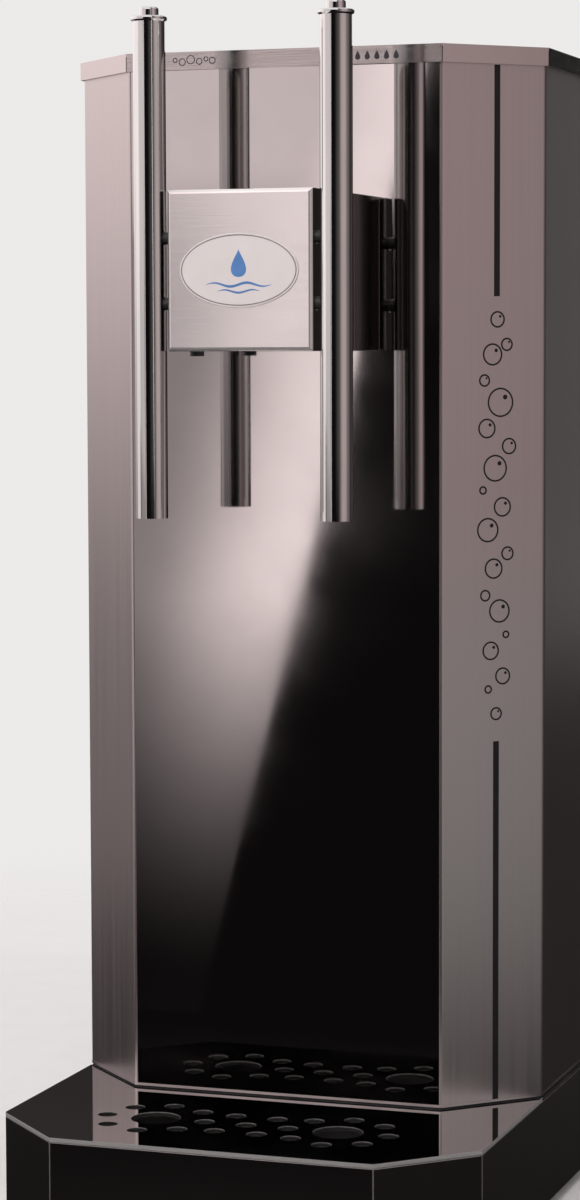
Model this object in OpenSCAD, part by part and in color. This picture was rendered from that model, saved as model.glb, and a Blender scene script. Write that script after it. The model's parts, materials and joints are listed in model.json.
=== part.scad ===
// Countertop sparkling water maker: a tower of folded steel sheet on a base with a draining deck.
// Two upright tap tubes with push buttons flank a square valve head on the front panel.
// Millimetres. Origin at the bottom centre of the footprint, X right, Y back, Z up, front faces -Y.

/* [Tower] */
// Width of the mirror front panel between its two corners
front_w = 166; // [140:1:190]
// Leg of the 45 degree corner panels, along X and along Y
corner_leg = 42; // [34:1:52]
// Depth of the tower from its front panel to its back edge
tower_d = 190; // [180:1:230]
// Height of the tower from the deck to the top of its cap
tower_h = 534; // [505:1:580]
// Thickness of the sheet of the tower, head and skirt
sheet = 1.5; // [1.2:0.1:2]
// Outside radius of the folds of the panels, skirt and deck
fold_r = 3; // [2.5:0.5:6]
// Height of the turned-down rim of the cap
cap_rim = 9; // [6:0.5:14]
// Free space between the rim of the cap and the panels
cap_gap = 0.3; // [0.2:0.05:0.6]
// Width of the open seams at the corners of the rim
seam_w = 0.5; // [0.3:0.1:1]
// Distance of the rear panel from the back edge
rear_recess = 25; // [24:1:32]
// Width of the fixing flanges of the side panels
flange_w = 15; // [12:0.5:20]
// Thickness of the seal under the tower
seal_t = 2; // [1.5:0.1:3]
// Setback of the seal from the face of the panels
seal_setback = 0.8; // [0.5:0.1:1.2]
// Width of the seal
seal_w = 7; // [5:0.5:10]
// Length of a ventilation slot
vent_l = 60; // [40:1:80]
// Width of a ventilation slot
vent_w = 4; // [3:0.5:5]
// Number of ventilation slots in each column
vent_rows = 8; // [4:1:10]

/* [Base] */
// Reach of the deck in front of the tower
deck_reach = 115; // [105:1:140]
// Height of the base from the feet to the top of the deck
base_h = 58; // [48:1:75]
// Thickness of the deck and of the tower floor
deck_t = 2; // [1.5:0.1:3]
// Free space between the lift-off deck and its neighbours
deck_gap = 0.4; // [0.3:0.05:0.8]
// Depth of the locating rim under the deck
rim_h = 6; // [4:0.5:10]
// Thickness of the bottom plate
plate_t = 2; // [1.5:0.1:3]
// Distance of the drip pan from the outside of the base
pan_inset = 7; // [6:0.5:12]
// Wall thickness of the drip pan
pan_wall = 1.2; // [1:0.1:2]
// Height of a rubber foot
foot_h = 6; // [5:0.5:10]
// Diameter of a rubber foot
foot_dia = 30; // [24:1:36]
// Distance of the feet from the sides of the base
foot_inset = 30; // [26:1:40]

/* [Drain holes] */
// Diameter of the large hole under each tap
rose_dia = 25; // [18:1:30]
// Diameter of the small drain holes
drain_dia = 10; // [7:0.5:11]
// Pitch circle of the small holes round a large one
rose_pcd = 52; // [44:1:56]
// Number of small holes round a large one
rose_count = 8; // [6:1:8]
// Offset along X and along Y of the outer holes of the middle group
middle_step = [11, 16]; // [9:1:20]

/* [Tap tubes] */
// Outside diameter of a tap tube
tube_dia = 16; // [15:0.5:18]
// Wall thickness of a tap tube
tube_wall = 1; // [0.8:0.1:1.2]
// Distance between the axes of the two tap tubes
tap_spread = 96; // [94:1:110]
// Distance of the tube axes from the front panel
tap_reach = 61; // [56:1:66]
// Height of the top of a tap above the deck
tap_top = 546; // [530:1:570]
// Height of the tube outlets above the deck
tap_bottom = 301; // [250:1:330]
// Length of the outlet nozzle inside a tube
nozzle_l = 12; // [8:1:20]
// Wall thickness of the outlet nozzle
nozzle_wall = 1.4; // [1:0.1:2]
// Setback of the outlet nozzle from the end of the tube
nozzle_setback = 1.5; // [1:0.1:4]

/* [Push buttons] */
// Diameter of a button
button_dia = 9.8; // [7:0.1:10]
// Travel of a button
button_travel = 4; // [3:0.1:6]
// Height of a pressed button above its cap
button_proud = 0.6; // [0.4:0.1:2]
// Height of the lip of a tap cap
lip_h = 2.6; // [2:0.1:5]
// Overhang of the lip over the tube
lip_over = 1.1; // [0.6:0.1:1.6]
// Length of the plug of a tap cap inside the tube
plug_l = 12; // [8:0.5:16]
// Diameter of a push rod
rod_dia = 4; // [3:0.1:4.4]
// Length of a return spring at rest
spring_l = 22; // [18:0.5:26]
// Wire diameter of a return spring
spring_wire = 0.9; // [0.6:0.1:1.1]
// Number of turns of a return spring
spring_turns = 7; // [5:1:8]

/* [Valve head] */
// Width of the head
head_w = 75; // [70:0.5:76]
// Height of the head
head_h = 78.5; // [74:0.5:90]
// Height of the underside of the head above the deck
head_low = 383; // [370:1:400]
// Depth of the head from the front panel to its face
head_d = 66; // [64:0.5:72]
// Distance of the seam between housing and cover from the front panel
head_seam = 42; // [30:1:46]
// Radius of the bent edges round the face of the head
face_round = 2; // [1:0.1:2.5]
// Length of the lip of the cover inside the housing
cover_lip = 6; // [5:0.5:10]
// Thickness of the lip of the cover
cover_lip_t = 1.2; // [1:0.1:1.5]
// Distance of the cover screw from the side of the head
cover_screw_in = 5.5; // [5.5:0.5:12]
// Width of the oval badge plate
badge_w = 61; // [50:1:68]
// Height of the oval badge plate
badge_h = 36; // [28:1:44]
// Thickness of the oval badge plate
badge_t = 0.8; // [0.5:0.1:1.5]
// Outside diameter of the spigots between head and tubes
spigot_dia = 6; // [5:0.5:6]
// Bore of the spigots
spigot_bore = 4; // [2.5:0.5:4]
// Distance between the two spigots of a tube
spigot_pitch = 32; // [28:1:36]
// Size of the body of the valve block along X and along Z
block_size = [48, 48]; // [46:1:52]
// Rim of the fixing flange round the valve block
block_flange = 6; // [5.5:0.5:7]
// Thickness of the fixing flange of the valve block
block_flange_t = 5; // [4:0.5:8]
// Distance between the two feed stubs of the valve block
feed_spread = 24; // [22:1:28]

/* [Plumbing] */
// Diameter of the carbonation vessel
vessel_dia = 110; // [90:1:114]
// Height of the shell of the carbonation vessel
vessel_h = 300; // [240:1:310]
// Wall thickness of the carbonation vessel
vessel_wall = 2; // [1.5:0.1:3]
// Height of each domed end of the vessel
dome_h = 24; // [18:1:30]
// Clear height under the vessel
vessel_low = 14; // [10:1:20]
// Pitch radius of the ports on the vessel
port_r = 30; // [28:0.5:32]
// Outside diameter of the hoses
hose_dia = 10; // [9:0.5:11]
// Bore of the hoses
hose_bore = 6; // [5:0.5:6.5]
// Bend radius of the hoses at their middle line
bend_r = 15; // [13:0.5:17]
// Length of a hose stub
stub_l = 14; // [10:1:16]
// Distance of the risers from the vessel
riser_gap = 20; // [17:1:26]
// Height of the inlets above the deck
inlet_high = 50; // [40:1:80]
// Height of the tee above the deck
tee_high = 200; // [150:5:260]
// Straight drop of a hose onto its check valve
hose_drop = 28; // [16:1:40]
// Diameter of the water spigot at the back
water_spigot = 10; // [8:0.5:12]
// Diameter of the gas spigot at the back
gas_spigot = 8; // [6:0.5:10]
// Diameter of the drain spigot at the back
drain_spigot = 14; // [12:0.5:16]
// Length of the spigots at the back
spigot_l = 17; // [14:0.5:17]

/* [Hidden] */
$fn = 64;
// Free space of a fit that is assembled by hand
fit = 0.05;
// Free space round a screw or a loose insert
loose = 0.1;
// Free space between flat faces that part or close in use
rest_gap = 0.3;
// Overlap of a cutting body past the face that it cuts
cut = 1;
// Sizes of the small screws
screw_dia = 4;
screw_head = [7, 2.4];
// Shift of a 45 degree corner for each millimetre of inset
corner_k = tan(22.5);
// Least radius on the inside of a fold
fold_in = 1.5;

// Levels and planes
half_w = front_w / 2 + corner_leg;
base_d = deck_reach + tower_d;
y_front = -base_d / 2;
y_back = base_d / 2;
y_panel = y_front + deck_reach;
y_rear = y_back - rear_recess;
z_plate = foot_h + plate_t;
z_deck = foot_h + base_h;
z_skirt = z_deck - deck_t;
z_shell = z_deck + seal_t;
z_top = z_deck + tower_h;
z_roof = z_top - sheet;

// Head and taps
tap_x = tap_spread / 2;
tap_y = y_panel - tap_reach;
tube_r = tube_dia / 2;
bore_r = tube_r - tube_wall;
z_head = z_deck + head_low;
z_block = z_head + head_h / 2;
spigot_skin = 1.5;
spigot_reach = min(tap_reach, head_d - sheet - spigot_dia / 2 - spigot_skin);
spigot_y = y_panel - spigot_reach;
z_inlet = z_block - spigot_pitch / 2;
z_stay = z_block + spigot_pitch / 2;
spigot_seat = 6;
block_front = head_d - sheet - rest_gap;
stub_dia = hose_bore - 2 * fit;
stub_bore = stub_dia - 2;
feed_free = 2;
cover_screw_pos = [-head_w / 2 + cover_screw_in, y_panel - head_seam + cover_lip / 2];
screw_edge = 6;
head_screw_at = [block_size[0] / 2 + block_flange / 2, block_size[1] / 2 - screw_edge];

// Valve train of one tap, from the top down
z_tap = z_deck + tap_top;
z_tube = z_tap - lip_h;
z_outlet = z_deck + tap_bottom;
button_flange = [button_dia + 1.4, 2];
button_out = button_travel + button_proud;
z_flange = z_tube - rest_gap - button_flange[1];
gland_h = 12;
gland_lift = 4;
z_gland = z_inlet + spigot_dia / 2 + gland_lift;
spring_r = 4.3;
z_spring = z_gland + gland_h + loose;
collar = [10, 2];
z_collar = z_spring + spring_l + loose;
ring_r = 0.7;
seat_h = 8;
seat_bore = 8;
seat_drop = 3;
z_seat = z_inlet - spigot_dia / 2 - seat_drop - seat_h;
poppet_dia = 11;
poppet_h = 5;
poppet_nose = 3;
z_poppet = z_seat - rest_gap;

// Vessel and hoses
vessel_r = vessel_dia / 2;
vessel_y = (y_panel + y_rear) / 2;
z_vessel = z_deck + vessel_low;
boss_rise = 4;
z_boss = z_vessel + vessel_h + boss_rise;
boss_dia = 16;
foot_ring = [84, 104];
foot_t = 3;
riser_x = vessel_r + riser_gap;
z_water = z_deck + inlet_high;
z_tee = z_deck + tee_high;
tee_half = 10;
soda_port = [-feed_spread / 2, vessel_y - sqrt(port_r * port_r - feed_spread * feed_spread / 4)];
check_h = 34;
z_riser = z_boss + check_h + hose_drop;
bulkhead_t = 3;
shank_step = 2;
nut_t = 4;
z_drain = z_plate + pan_wall + drain_spigot / 2 + 5;
drain_wall = 2;
drain_stub = 12;
y_pan = y_panel - pan_inset;
y_hose_end = y_panel + sheet + feed_free;
branch_run = stub_l + 5;
still_y = vessel_y - tee_half - branch_run - bend_r;

// Finishes
mirror_steel = [0.80, 0.77, 0.77];
satin_steel = [0.64, 0.59, 0.59];
dark_steel = [0.35, 0.34, 0.35];
chrome = [0.86, 0.85, 0.86];
rubber = [0.05, 0.05, 0.05];
black_steel = [0.10, 0.10, 0.10];
black_plastic = [0.12, 0.12, 0.12];
brass = [0.75, 0.60, 0.30];
plastic = [0.85, 0.85, 0.83];
water_blue = [0.55, 0.68, 0.80];

// Corners of the base or tower with its front edge at y, inset all round but at the back
function corners(y, inset = 0, back = y_back) = [
    [-(front_w / 2 - inset * corner_k), y + inset],
    [front_w / 2 - inset * corner_k, y + inset],
    [half_w - inset, y + corner_leg + inset * corner_k],
    [half_w - inset, back],
    [-(half_w - inset), back],
    [-(half_w - inset), y + corner_leg + inset * corner_k]
];

// Rounded fold of the plan: corner i, where the way out turns by 45 degrees from an angle
function fold_arc(y, inset, i, from) =
    let (mid = max(fold_r, inset + fold_in), centre = corners(y, mid)[i])
    [for (a = [from:15:from + 45]) centre + (mid - inset) * [cos(a), sin(a)]];

// Plan of the base or tower with rounded folds
function plan(y, inset = 0, back = y_back) = concat(
    fold_arc(y, inset, 0, 225),
    fold_arc(y, inset, 1, 270),
    fold_arc(y, inset, 2, 315),
    [[half_w - inset, back], [-(half_w - inset), back]],
    fold_arc(y, inset, 5, 180)
);

function ellipse(w, h) = [for (a = [0:6:354]) [w / 2 * cos(a), h / 2 * sin(a)]];

// Rounded outer corner of a turned profile
function quarter(r, top, round_r) =
    [for (a = [0:15:90]) [r - round_r + round_r * cos(a), top - round_r + round_r * sin(a)]];

// Wall that follows the plan and is open at the back
module open_wall(y, inset, t) {
    difference() {
        polygon(plan(y, inset));
        polygon(plan(y, inset + t, y_back + cut));
    }
}

module at_both_sides(x) {
    for (s = [-1, 1]) {
        translate([s * x, 0, 0]) children();
    }
}

module slot(l, w) {
    square([l - w, w], center = true);
    at_both_sides((l - w) / 2) circle(d = w);
}

// Ring along Z from its outer and inner diameters
module ring(outer, inner, h) {
    difference() {
        cylinder(d = outer, h = h);
        translate([0, 0, -cut]) cylinder(d = inner, h = h + 2 * cut);
    }
}

// Pan-head screw along Z: the head stands on z = 0 and the shank goes down
module screw(l) {
    cylinder(d = screw_head[0], h = screw_head[1]);
    translate([0, 0, -l]) cylinder(d = screw_dia, h = l);
}

// Hole for a screw through a wall that stands on z = 0
module screw_hole(t) {
    translate([0, 0, -cut]) cylinder(d = screw_dia + 2 * loose, h = t + 2 * cut);
}

// Hose along Z, and a quarter bend towards +X turned by roll; children go on from its end
module hose_section() {
    difference() {
        circle(d = hose_dia);
        circle(d = hose_bore);
    }
}

module hose_run(l) {
    linear_extrude(l) hose_section();
    translate([0, 0, l]) children();
}

module hose_bend(roll) {
    rotate([0, 0, roll]) {
        translate([bend_r, 0, 0]) rotate([90, 0, 180]) rotate_extrude(angle = 90) {
            translate([bend_r, 0]) hose_section();
        }
        translate([bend_r, 0, bend_r]) rotate([0, 90, 0]) children();
    }
}

// Base

module foot_places() {
    for (y = [y_front + foot_inset, y_rear - foot_inset]) {
        at_both_sides(front_w / 2) translate([0, y, 0]) children();
    }
}

module base_skirt() {
    color(mirror_steel) difference() {
        translate([0, 0, foot_h]) linear_extrude(z_skirt - foot_h) {
            open_wall(y_front, 0, sheet);
            translate([-half_w + sheet / 2, y_rear - sheet]) square([2 * half_w - sheet, sheet]);
        }
        on_rear_wall(0, z_drain) bulkhead_hole(drain_spigot);
    }
}

module base_plate() {
    color(dark_steel) difference() {
        translate([0, 0, foot_h]) linear_extrude(plate_t) polygon(plan(y_front, sheet, y_rear - sheet));
        translate([0, 0, foot_h]) foot_places() screw_hole(plate_t);
    }
}

module rubber_feet() {
    head_room = screw_head[0] + 4 * loose;
    color(rubber) foot_places() rotate_extrude() polygon([
        [head_room / 2, 0],
        [foot_dia / 2 - 2, 0],
        [foot_dia / 2, foot_h],
        [screw_dia / 2 + loose, foot_h],
        [screw_dia / 2 + loose, foot_h / 2],
        [head_room / 2, foot_h / 2]
    ]);
}

module foot_screws() {
    color(chrome) foot_places() translate([0, 0, foot_h / 2]) {
        mirror([0, 0, 1]) screw(foot_h / 2 + plate_t);
    }
}

module drip_pan() {
    color(satin_steel) difference() {
        union() {
            translate([0, 0, z_plate]) linear_extrude(z_skirt - z_plate) {
                polygon(plan(y_front, pan_inset, y_pan));
            }
            translate([0, y_pan, z_drain]) rotate([-90, 0, 0]) cylinder(d = drain_spigot, h = drain_stub);
        }
        translate([0, 0, z_plate + pan_wall]) linear_extrude(base_h) {
            polygon(plan(y_front, pan_inset + pan_wall, y_pan - pan_wall));
        }
        translate([0, y_pan - 2 * pan_wall, z_drain]) rotate([-90, 0, 0]) {
            cylinder(d = drain_spigot - 2 * drain_wall, h = drain_stub + 2 * pan_wall + cut);
        }
    }
}

module drain_hose() {
    l = y_rear - sheet - bulkhead_t - y_pan;
    color(plastic) translate([0, y_pan, z_drain]) rotate([-90, 0, 0]) {
        ring(drain_spigot + 2 * drain_wall + 2 * fit, drain_spigot + 2 * fit, l);
    }
}

// Bulkhead fitting along Z: inner stub below, flange behind the wall, thicker shank and spigot above z = 0
module bulkhead(dia, stub, stub_len, bore) {
    difference() {
        union() {
            translate([0, 0, -bulkhead_t]) cylinder(d = dia + shank_step + 8, h = bulkhead_t);
            translate([0, 0, -bulkhead_t - stub_len]) cylinder(d = stub, h = stub_len + bulkhead_t);
            cylinder(d = dia + shank_step, h = sheet + nut_t);
            cylinder(d = dia, h = sheet + nut_t + spigot_l);
        }
        translate([0, 0, -bulkhead_t - stub_len - cut]) {
            cylinder(d = bore, h = stub_len + bulkhead_t + sheet + nut_t + spigot_l + 2 * cut);
        }
    }
}

module bulkhead_hole(dia) {
    translate([0, 0, -cut]) cylinder(d = dia + shank_step + 2 * loose, h = sheet + 2 * cut);
}

module on_rear_wall(x, z) {
    translate([x, y_rear - sheet, z]) rotate([-90, 0, 0]) children();
}

module drain_outlet() {
    color(black_plastic) on_rear_wall(0, z_drain) {
        bulkhead(drain_spigot, drain_spigot, drain_stub, drain_spigot - 2 * drain_wall);
    }
}

module deck_holes() {
    at_both_sides(tap_x) translate([0, tap_y]) {
        circle(d = rose_dia);
        for (i = [0:rose_count - 1]) {
            rotate(360 * i / rose_count) translate([rose_pcd / 2, 0]) circle(d = drain_dia);
        }
    }
    translate([0, tap_y]) {
        circle(d = drain_dia);
        for (sx = [-1, 1], sy = [-1, 1]) {
            translate([sx * middle_step[0], sy * middle_step[1]]) circle(d = drain_dia);
        }
    }
}

// Plan of the tower with the free space of the lift-off deck round it
module deck_back() {
    polygon(plan(y_panel, -deck_gap, y_back + cut));
}

module deck_plate() {
    color(mirror_steel) translate([0, 0, z_skirt]) linear_extrude(deck_t) difference() {
        polygon(plan(y_front));
        deck_back();
        deck_holes();
    }
}

// Locating rim welded under the deck, inside the skirt
module deck_rim() {
    color(satin_steel) translate([0, 0, z_skirt - rim_h]) linear_extrude(rim_h) difference() {
        open_wall(y_front, sheet + deck_gap, sheet);
        deck_back();
    }
}

// Tower

module tower_floor() {
    hose_room = drain_spigot + 2 * drain_wall + 4;
    color(satin_steel) difference() {
        union() {
            translate([0, 0, z_skirt]) linear_extrude(deck_t) polygon(plan(y_panel));
            translate([-front_w / 2, y_panel, z_plate]) cube([front_w, sheet, z_skirt - z_plate]);
        }
        translate([0, y_panel - cut, z_drain]) rotate([-90, 0, 0]) {
            cylinder(d = hose_room, h = sheet + 2 * cut);
        }
        vessel_screw_places() translate([0, 0, z_skirt]) screw_hole(deck_t);
    }
}

module foot_seal() {
    color(rubber) translate([0, 0, z_deck]) linear_extrude(seal_t) {
        open_wall(y_panel, seal_setback, seal_w);
        translate([-half_w + seal_w, y_rear - seal_w]) {
            square([2 * (half_w - seal_w), seal_w - seal_setback]);
        }
    }
}

module head_screw_places() {
    for (sx = [-1, 1], sz = [-1, 1]) {
        translate([sx * head_screw_at[0], y_panel, z_block + sz * head_screw_at[1]]) {
            rotate([-90, 0, 0]) children();
        }
    }
}

module feed_places() {
    at_both_sides(feed_spread / 2) translate([0, y_panel, z_block]) rotate([-90, 0, 0]) children();
}

// Holes through the front panel and the back of the head
module head_fixings() {
    head_screw_places() translate([0, 0, -sheet]) screw_hole(2 * sheet);
    feed_places() translate([0, 0, -sheet - cut]) {
        cylinder(d = stub_dia + 4 * loose, h = 2 * sheet + 2 * cut);
    }
}

module front_panel() {
    half = fold_arc(y_panel, 0, 1, 270)[0][0];
    color(mirror_steel) difference() {
        translate([-half, y_panel, z_shell]) cube([2 * half, sheet, z_roof - z_shell]);
        head_fixings();
    }
}

// Folded side panel: flange behind the front panel, corner face, side wall and flange for the rear panel
module side_panel(s) {
    inner = corners(y_panel, sheet);
    front_bend = fold_arc(y_panel, 0, 1, 270);
    inner_bend = fold_arc(y_panel, sheet, 2, 315);
    fold = inner[1][0] - flange_w;
    rear_fold = inner[2][0] - flange_w;
    outline = concat(
        front_bend,
        fold_arc(y_panel, 0, 2, 315),
        [
            [half_w, y_back],
            [inner[3][0], y_back],
            [inner[2][0], y_rear - sheet],
            [rear_fold, y_rear - sheet],
            [rear_fold, y_rear - 2 * sheet],
            [inner[2][0], y_rear - 2 * sheet]
        ],
        [for (i = [len(inner_bend) - 1:-1:0]) inner_bend[i]],
        [
            [inner[1][0] + sheet, inner[1][1] + sheet],
            [fold, inner[1][1] + sheet],
            [fold, inner[1][1]],
            [front_bend[0][0], inner[1][1]]
        ]
    );
    color(satin_steel) difference() {
        translate([0, 0, z_shell]) linear_extrude(z_roof - z_shell) mirror([s < 0 ? 1 : 0, 0]) {
            polygon(outline);
        }
        rear_screw_places() translate([0, 0, -2 * sheet]) screw_hole(2 * sheet);
    }
}

module rear_screw_places() {
    rows = 4;
    low = z_shell + 20;
    step = (z_roof - cap_rim - 20 - low) / (rows - 1);
    for (i = [0:rows - 1]) {
        at_both_sides(half_w - sheet - flange_w / 2) translate([0, y_rear, low + i * step]) {
            rotate([-90, 0, 0]) children();
        }
    }
}

module rear_panel() {
    w = 2 * (half_w - sheet - loose);
    vent_step = 3 * vent_w;
    color(satin_steel) difference() {
        translate([-w / 2, y_rear - sheet, z_shell]) cube([w, sheet, z_roof - z_shell]);
        rear_screw_places() translate([0, 0, -sheet]) screw_hole(sheet);
        for (i = [0:vent_rows - 1]) {
            translate([0, y_rear + cut, z_roof - 60 - i * vent_step]) rotate([90, 0, 0]) {
                linear_extrude(sheet + 2 * cut) at_both_sides(vent_l / 2 + 8) slot(vent_l, vent_w);
            }
        }
        on_rear_wall(riser_x, z_water) bulkhead_hole(water_spigot);
        on_rear_wall(-riser_x, z_water) bulkhead_hole(gas_spigot);
    }
}

module rear_screws() {
    color(chrome) rear_screw_places() screw(2 * sheet + 3);
}

module bulkhead_nut(dia) {
    translate([0, 0, sheet]) difference() {
        cylinder(d = (dia + shank_step + 6) / cos(30), h = nut_t, $fn = 6);
        translate([0, 0, -cut]) cylinder(d = dia + shank_step + 2 * fit, h = nut_t + 2 * cut);
    }
}

module bulkhead_nuts() {
    color(brass) {
        on_rear_wall(riser_x, z_water) bulkhead_nut(water_spigot);
        on_rear_wall(-riser_x, z_water) bulkhead_nut(gas_spigot);
        on_rear_wall(0, z_drain) bulkhead_nut(drain_spigot);
    }
}

// Cap with a turned-down rim, whose flaps meet in open seams at the corners
module top_cap() {
    edge = corners(y_panel, -sheet - cap_gap);
    color(satin_steel) difference() {
        union() {
            translate([0, 0, z_roof]) linear_extrude(sheet) polygon(edge);
            translate([0, 0, z_top - cap_rim]) linear_extrude(cap_rim - sheet) difference() {
                polygon(edge);
                polygon(corners(y_panel, -cap_gap, y_back + cut));
            }
        }
        for (s = [0, 1], i = [1, 2]) {
            mirror([s, 0, 0]) translate([edge[i][0], edge[i][1], z_top - cap_rim - cut]) {
                rotate(247.5 + 45 * i) translate([-2 * sheet, -seam_w / 2, 0]) {
                    cube([2 * sheet + cut, seam_w, cap_rim - sheet + cut]);
                }
            }
        }
    }
}

// Valve head

// Box of the head between two distances from the front panel, inset from its sides
module head_box(from, to, inset) {
    translate([-head_w / 2 + inset, y_panel - to, z_head + inset]) {
        cube([head_w - 2 * inset, to - from, head_h - 2 * inset]);
    }
}

module head_housing() {
    color(satin_steel) difference() {
        head_box(0, head_seam, 0);
        head_box(sheet, head_seam + cut, sheet);
        head_fixings();
        translate([cover_screw_pos[0], cover_screw_pos[1], z_head]) screw_hole(sheet);
    }
}

module spigot_places(s) {
    for (z = [z_inlet, z_stay]) {
        translate([0, spigot_y, z]) rotate([0, s * 90, 0]) children();
    }
}

// Outside of the cover, with bent edges round its face
module cover_form() {
    bends = 4;
    start = head_d - face_round;
    hull() {
        head_box(head_seam, start, 0);
        for (i = [1 : bends]) {
            turn = 90 * i / bends;
            head_box(start, start + face_round * sin(turn), face_round * (1 - cos(turn)));
        }
    }
}

module head_cover() {
    lip_in = sheet + loose;
    color(satin_steel) difference() {
        union() {
            cover_form();
            head_box(head_seam - cover_lip, head_seam + cut, lip_in);
        }
        head_box(head_seam + cover_lip, head_d - sheet, sheet);
        head_box(head_seam - cover_lip - cut, head_seam + cover_lip + cut, lip_in + cover_lip_t);
        for (s = [-1, 1]) {
            spigot_places(s) cylinder(d = spigot_dia + 6 * loose, h = head_w / 2 + cut);
        }
        translate([cover_screw_pos[0], cover_screw_pos[1], z_head]) screw_hole(sheet + 2 * cover_lip_t);
    }
}

module badge_plate() {
    color(plastic) translate([0, y_panel - head_d, z_block]) rotate([90, 0, 0]) {
        linear_extrude(badge_t) polygon(ellipse(badge_w, badge_h));
    }
}

module valve_block() {
    flange = [block_size[0] + 2 * block_flange, block_size[1]];
    color(brass) difference() {
        union() {
            translate([-block_size[0] / 2, y_panel - block_front, z_block - block_size[1] / 2]) {
                cube([block_size[0], block_front - sheet, block_size[1]]);
            }
            translate([-flange[0] / 2, y_panel - sheet - block_flange_t, z_block - flange[1] / 2]) {
                cube([flange[0], block_flange_t, flange[1]]);
            }
            feed_places() translate([0, 0, -sheet - cut]) {
                cylinder(d = stub_dia, h = cut + 2 * sheet + feed_free + stub_l);
            }
        }
        feed_places() translate([0, 0, -spigot_reach]) {
            cylinder(d = stub_bore, h = spigot_reach + sheet + feed_free + stub_l + cut);
        }
        for (s = [-1, 1]) {
            translate([s * feed_spread / 2, spigot_y, z_block - spigot_pitch / 2]) {
                cylinder(d = stub_bore, h = spigot_pitch / 2);
                rotate([0, s * 90, 0]) cylinder(d = stub_bore, h = block_size[0] / 2);
            }
            spigot_places(s) translate([0, 0, block_size[0] / 2 - spigot_seat]) {
                cylinder(d = spigot_dia + 2 * fit, h = spigot_seat + cut);
            }
        }
        head_screw_places() translate([0, 0, -sheet - block_flange_t]) screw_hole(block_flange_t);
    }
}

module head_screws() {
    color(chrome) head_screw_places() translate([0, 0, sheet]) screw(2 * sheet + block_flange_t);
}

module cover_screw() {
    color(black_steel) translate([cover_screw_pos[0], cover_screw_pos[1], z_head]) mirror([0, 0, 1]) {
        screw(sheet + cover_lip_t + 1);
    }
}

// Length of a spigot from its seat in the valve block to the bore of the tube
spigot_len = tap_x - bore_r - block_size[0] / 2 + spigot_seat;

module at_spigot(s, z) {
    translate([s * (block_size[0] / 2 - spigot_seat), spigot_y, z]) rotate([0, s * 90, 0]) children();
}

module tube_stays() {
    color(black_steel) for (s = [-1, 1]) {
        at_spigot(s, z_stay) cylinder(d = spigot_dia, h = spigot_len);
    }
}

module spigot(s) {
    color(black_steel) at_spigot(s, z_inlet) ring(spigot_dia, spigot_bore, spigot_len);
}

// Taps

module at_tap(s, z) {
    translate([s * tap_x, tap_y, z]) children();
}

module tap_tube(s) {
    color(chrome) difference() {
        at_tap(s, z_outlet) ring(tube_dia, 2 * bore_r, z_tube - z_outlet);
        spigot_places(s) translate([0, 0, block_size[0] / 2]) {
            cylinder(d = spigot_dia + 2 * fit, h = tap_x - block_size[0] / 2);
        }
    }
}

// Turned cap: flared lip on the tube, plug inside it, guide bore with a step for the button
module tap_cap(s) {
    lip_r = tube_r + lip_over;
    lip_slope = 0.8;
    round_r = 1;
    guide_r = button_dia / 2 + loose;
    well_r = button_flange[0] / 2 + rest_gap;
    plug_r = bore_r - fit;
    corner = quarter(lip_r, lip_h, round_r);
    color(chrome) at_tap(s, z_tube) rotate_extrude() polygon(concat(
        [[well_r, -plug_l], [plug_r, -plug_l], [plug_r, 0], [tube_r, 0], [lip_r, lip_slope]],
        corner,
        [[guide_r, lip_h], [guide_r, 0], [well_r, 0]]
    ));
}

module button(s) {
    r = button_dia / 2;
    flange_r = button_flange[0] / 2;
    round_r = 1.4;
    top = z_tap + button_out - z_flange;
    corner = quarter(r, top, round_r);
    color(chrome) at_tap(s, z_flange) rotate_extrude() polygon(concat(
        [[0, 0], [flange_r, 0], [flange_r, button_flange[1]], [r, button_flange[1]]],
        corner,
        [[0, top]]
    ));
}

module push_rod(s) {
    low = z_poppet + poppet_nose;
    color(chrome) {
        at_tap(s, low) cylinder(d = rod_dia, h = z_flange - low);
        at_tap(s, z_collar) cylinder(d = collar[0], h = collar[1]);
    }
}

module gland(s) {
    r = rod_dia / 2 + fit;
    groove = [gland_h / 2 - ring_r - loose, gland_h / 2 + ring_r + loose];
    groove_r = r + 2 * ring_r + fit;
    color(brass) at_tap(s, z_gland) rotate_extrude() polygon([
        [r, 0],
        [bore_r - fit, 0],
        [bore_r - fit, gland_h],
        [r, gland_h],
        [r, groove[1]],
        [groove_r, groove[1]],
        [groove_r, groove[0]],
        [r, groove[0]]
    ]);
}

module gland_seal(s) {
    color(rubber) at_tap(s, z_gland + gland_h / 2) rotate_extrude() {
        translate([rod_dia / 2 + fit + ring_r, 0]) circle(r = ring_r);
    }
}

// Helical spring swept along its own points, with flat end caps
function spring_point(i, j, rings, sides) =
    let (
        turn = 360 * i / rings,
        around = 360 * j / sides,
        r = spring_r + spring_wire / 2 * cos(around),
        rise = (spring_l - spring_wire) * i / (rings * spring_turns)
    )
    [r * cos(turn), r * sin(turn), spring_wire / 2 + rise + spring_wire / 2 * sin(around)];

module return_spring(s) {
    rings = 10;
    sides = 6;
    n = rings * spring_turns;
    points = [for (i = [0:n], j = [0:sides - 1]) spring_point(i, j, rings, sides)];
    walls = [for (i = [0:n - 1], j = [0:sides - 1])
        let (a = i * sides + j, b = i * sides + (j + 1) % sides)
        each [[a, b, b + sides], [a, b + sides, a + sides]]];
    first = [for (j = [1:sides - 2]) [0, j + 1, j]];
    last = [for (j = [1:sides - 2]) [n * sides, n * sides + j, n * sides + j + 1]];
    color(satin_steel) at_tap(s, z_spring) polyhedron(points, concat(walls, first, last));
}

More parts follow.
